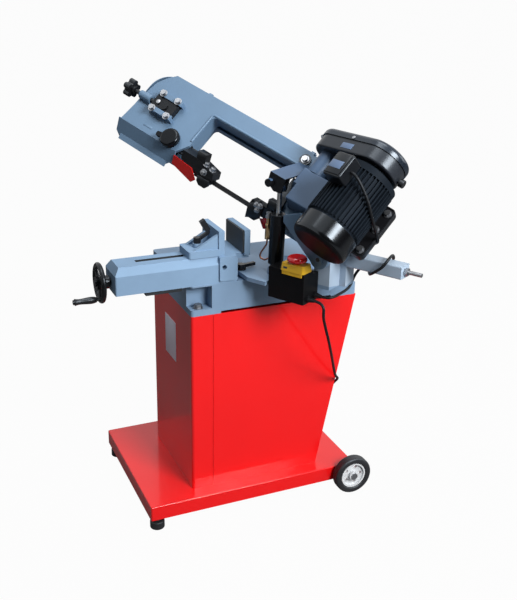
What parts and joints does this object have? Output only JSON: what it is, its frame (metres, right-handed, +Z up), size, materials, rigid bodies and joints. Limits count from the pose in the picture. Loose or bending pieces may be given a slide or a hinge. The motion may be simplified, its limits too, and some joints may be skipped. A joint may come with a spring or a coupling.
{
  "type": "metal band saw on wheeled stand",
  "caption": "Floor-standing metal-cutting band saw: hinged bow with motor and belt case over a swivel, lift cylinder, handwheel vise and a red cabinet on a wheeled tray.",
  "frame": {"origin": "middle of the footprint of the machine without its mains cord, on the floor", "axes": "+Z up, +X along the vise towards the road wheels, -Y towards the front of the stand"},
  "size_m": [0.7724, 0.8244, 1.0795],
  "materials": {
    "stand_red": "gloss",
    "casting_blue": "satin",
    "bed_blue": "satin",
    "post_grey": "satin",
    "jaw_dark": "satin",
    "black_paint": "satin",
    "motor_black": "gloss",
    "black_plastic": "satin",
    "tyre_black": "matte",
    "rim_silver": "satin",
    "foot_rubber": "matte",
    "zinc": "satin",
    "dark_steel": "satin",
    "blade_steel": "satin",
    "brass_yellow": "satin",
    "guard_red": "gloss",
    "switch_yellow": "gloss",
    "button_red": "gloss",
    "cord_black": "matte",
    "wheel_iron": "satin"
  },
  "bodies": {
    "stand": {"stand_tray": "stand_red", "stand_feet": "foot_rubber", "wheel_axle": "zinc", "stand_cabinet": "stand_red", "bed": "bed_blue", "vise_body": "bed_blue", "fixed_jaw": "bed_blue", "jaw_plate": "jaw_dark", "frame_bolts": "zinc", "mains_cord": "cord_black", "cord_coil": "cord_black", "mains_plug": "cord_black"},
    "front_wheel": {"front_wheel_tyre": "tyre_black", "front_wheel_rim": "rim_silver"},
    "rear_wheel": {"rear_wheel_tyre": "tyre_black", "rear_wheel_rim": "rim_silver"},
    "handwheel": {"handwheel": "black_paint"},
    "crank": {"crank_handle": "black_plastic"},
    "jaw": {"movable_jaw": "bed_blue"},
    "lock": {"lock_lever": "black_plastic"},
    "swivel": {"swivel_base": "post_grey", "pivot_pins": "dark_steel", "counter_spring": "dark_steel", "switch_box": "black_paint", "cord_glands": "black_plastic", "switch_body": "switch_yellow"},
    "adjuster": {"spring_adjuster": "zinc"},
    "button": {"stop_button": "button_red"},
    "swivel_clamp": {"swivel_lever": "black_paint"},
    "cylinder": {"lift_cylinder": "black_paint", "flow_valve": "brass_yellow"},
    "valve": {"valve_knob": "zinc"},
    "rod": {"lift_rod": "zinc"},
    "bow": {"bow_casting": "casting_blue", "slide_keepers": "casting_blue", "gearbox_housing": "casting_blue", "motor_body": "motor_black", "fan_cover": "motor_black", "terminal_box": "motor_black", "motor_plate": "black_paint", "belt_pan": "black_paint", "lift_bracket": "black_paint", "right_guide": "black_paint", "bow_bolts": "zinc", "blade": "blade_steel", "drive_belt": "cord_black", "motor_lead": "cord_black"},
    "belt_cover": {"belt_lid": "black_paint"},
    "belt_clamp": {"belt_knob": "black_plastic"},
    "cover": {"blade_cover": "casting_blue"},
    "guide": {"guide_arm": "black_paint", "blade_guard": "guard_red"},
    "guide_clamp": {"guide_knob": "black_plastic"},
    "slide": {"slide_block": "black_paint"},
    "tension": {"tension_knob": "black_plastic"},
    "idler": {"idler_wheel": "wheel_iron"},
    "drive": {"drive_wheel": "wheel_iron", "worm_wheel": "brass_yellow"},
    "worm": {"worm_shaft": "dark_steel"},
    "rotor": {"motor_rotor": "dark_steel"}
  },
  "joints": [
    {"name": "front_wheel_spin", "type": "hinge", "parent": "stand", "child": "front_wheel", "pos_m": [0.33275, -0.17538, 0.0535], "axis": [0, 1, 0], "continuous": true},
    {"name": "rear_wheel_spin", "type": "hinge", "parent": "stand", "child": "rear_wheel", "pos_m": [0.33275, 0.28962, 0.0535], "axis": [0, 1, 0], "continuous": true},
    {"name": "handwheel_turn", "type": "hinge", "parent": "stand", "child": "handwheel", "pos_m": [-0.32125, -0.06738, 0.666], "axis": [1, 0, 0], "range_deg": [-9900, 4230]},
    {"name": "crank_spin", "type": "hinge", "parent": "handwheel", "child": "crank", "pos_m": [-0.34825, -0.06738, 0.625], "axis": [1, 0, 0], "continuous": true},
    {"name": "jaw_travel", "type": "slide", "parent": "stand", "child": "jaw", "axis": [1, 0, 0], "range_m": [-0.11, 0.047]},
    {"name": "lock_turn", "type": "hinge", "parent": "jaw", "child": "lock", "pos_m": [-0.07825, -0.06738, 0.74], "axis": [0, 0, 1], "range_deg": [-80, 15]},
    {"name": "swivel_turn", "type": "hinge", "parent": "stand", "child": "swivel", "pos_m": [0.03675, 0.03262, 0.653], "axis": [0, 0, 1], "range_deg": [0, 60], "deforming": ["mains_cord"]},
    {"name": "adjuster_turn", "type": "hinge", "parent": "swivel", "child": "adjuster", "pos_m": [0.32312, -0.37939, 0.7155], "axis": [0.5, -0.866, 0], "continuous": true},
    {"name": "stop_press", "type": "slide", "parent": "swivel", "child": "button", "axis": [0, 0, -1], "range_m": [0, 0.005], "stiffness_N_per_m": 800, "springref_m": -0.002},
    {"name": "swivel_clamp_turn", "type": "hinge", "parent": "swivel", "child": "swivel_clamp", "pos_m": [0.03425, -0.07505, 0.662], "axis": [0, 0, 1], "range_deg": [-30, 30]},
    {"name": "bow_lift", "type": "hinge", "parent": "swivel", "child": "bow", "pos_m": [0.19025, -0.23325, 0.726], "axis": [0.866, 0.5, 0], "range_deg": [-21.7, 12], "deforming": ["motor_lead"]},
    {"name": "cylinder_swing", "type": "hinge", "parent": "swivel", "child": "cylinder", "pos_m": [0.1021, -0.13057, 0.668], "axis": [0.866, 0.5, 0], "range_deg": [-16.5, 9.5]},
    {"name": "rod_stroke", "type": "slide", "parent": "cylinder", "child": "rod", "axis": [0.0192, -0.0333, 0.9993], "range_m": [-0.052, 0.029]},
    {"name": "valve_turn", "type": "hinge", "parent": "cylinder", "child": "valve", "pos_m": [0.09034, -0.1102, 0.7979], "axis": [0.0192, -0.0333, 0.9993], "range_deg": [-270, 0]},
    {"name": "belt_cover_open", "type": "hinge", "parent": "bow", "child": "belt_cover", "pos_m": [0.23822, -0.0943, 0.97608], "axis": [-0.5014, -0.5458, 0.6713], "range_deg": [0, 100]},
    {"name": "belt_clamp_turn", "type": "hinge", "parent": "bow", "child": "belt_clamp", "pos_m": [0.31542, -0.33266, 0.91441], "axis": [0.4747, -0.8222, -0.314], "range_deg": [-1080, 0]},
    {"name": "cover_open", "type": "hinge", "parent": "bow", "child": "cover", "pos_m": [0.16598, 0.11921, 0.97657], "axis": [0.4747, -0.8222, -0.314], "range_deg": [0, 95]},
    {"name": "guide_travel", "type": "slide", "parent": "bow", "child": "guide", "axis": [-0.4747, 0.8222, 0.314], "range_m": [-0.07, 0]},
    {"name": "guide_clamp_turn", "type": "hinge", "parent": "bow", "child": "guide_clamp", "pos_m": [-0.05825, 0.18586, 0.94075], "axis": [-0.5014, -0.5458, 0.6713], "range_deg": [-360, 0]},
    {"name": "tension_turn", "type": "hinge", "parent": "bow", "child": "tension", "pos_m": [-0.1021, 0.35514, 1.04266], "axis": [-0.4747, 0.8222, 0.314], "range_deg": [-1980, 0]},
    {"name": "tension_travel", "type": "slide", "parent": "bow", "child": "slide", "axis": [-0.4747, 0.8222, 0.314], "range_m": [-0.0082, 0]},
    {"name": "idler_spin", "type": "hinge", "parent": "slide", "child": "idler", "pos_m": [-0.02893, 0.28215, 0.98136], "axis": [-0.5014, -0.5458, 0.6713], "continuous": true},
    {"name": "drive_spin", "type": "hinge", "parent": "bow", "child": "drive", "pos_m": [0.22172, -0.15199, 0.81557], "axis": [-0.5014, -0.5458, 0.6713], "continuous": true},
    {"name": "worm_spin", "type": "hinge", "parent": "bow", "child": "worm", "pos_m": [0.18552, -0.15152, 0.89021], "axis": [-0.7234, -0.1613, -0.6713], "continuous": true},
    {"name": "rotor_spin", "type": "hinge", "parent": "bow", "child": "rotor", "pos_m": [0.21007, -0.29304, 0.86796], "axis": [-0.7234, -0.1613, -0.6713], "continuous": true}
  ],
  "couplings": [
    {"joint": "jaw_travel", "follows": "handwheel_turn", "m_per_rad": 0.00063662},
    {"joint": "cylinder_swing", "follows": "bow_lift", "ratio": 0.7186},
    {"joint": "rod_stroke", "follows": "bow_lift", "m_per_rad": 0.13434},
    {"joint": "tension_turn", "follows": "tension_travel", "rad_per_m": 4188.8},
    {"joint": "worm_spin", "follows": "rotor_spin", "ratio": 0.83333},
    {"joint": "drive_spin", "follows": "rotor_spin", "ratio": 0.034722},
    {"joint": "idler_spin", "follows": "rotor_spin", "ratio": 0.034722}
  ]
}
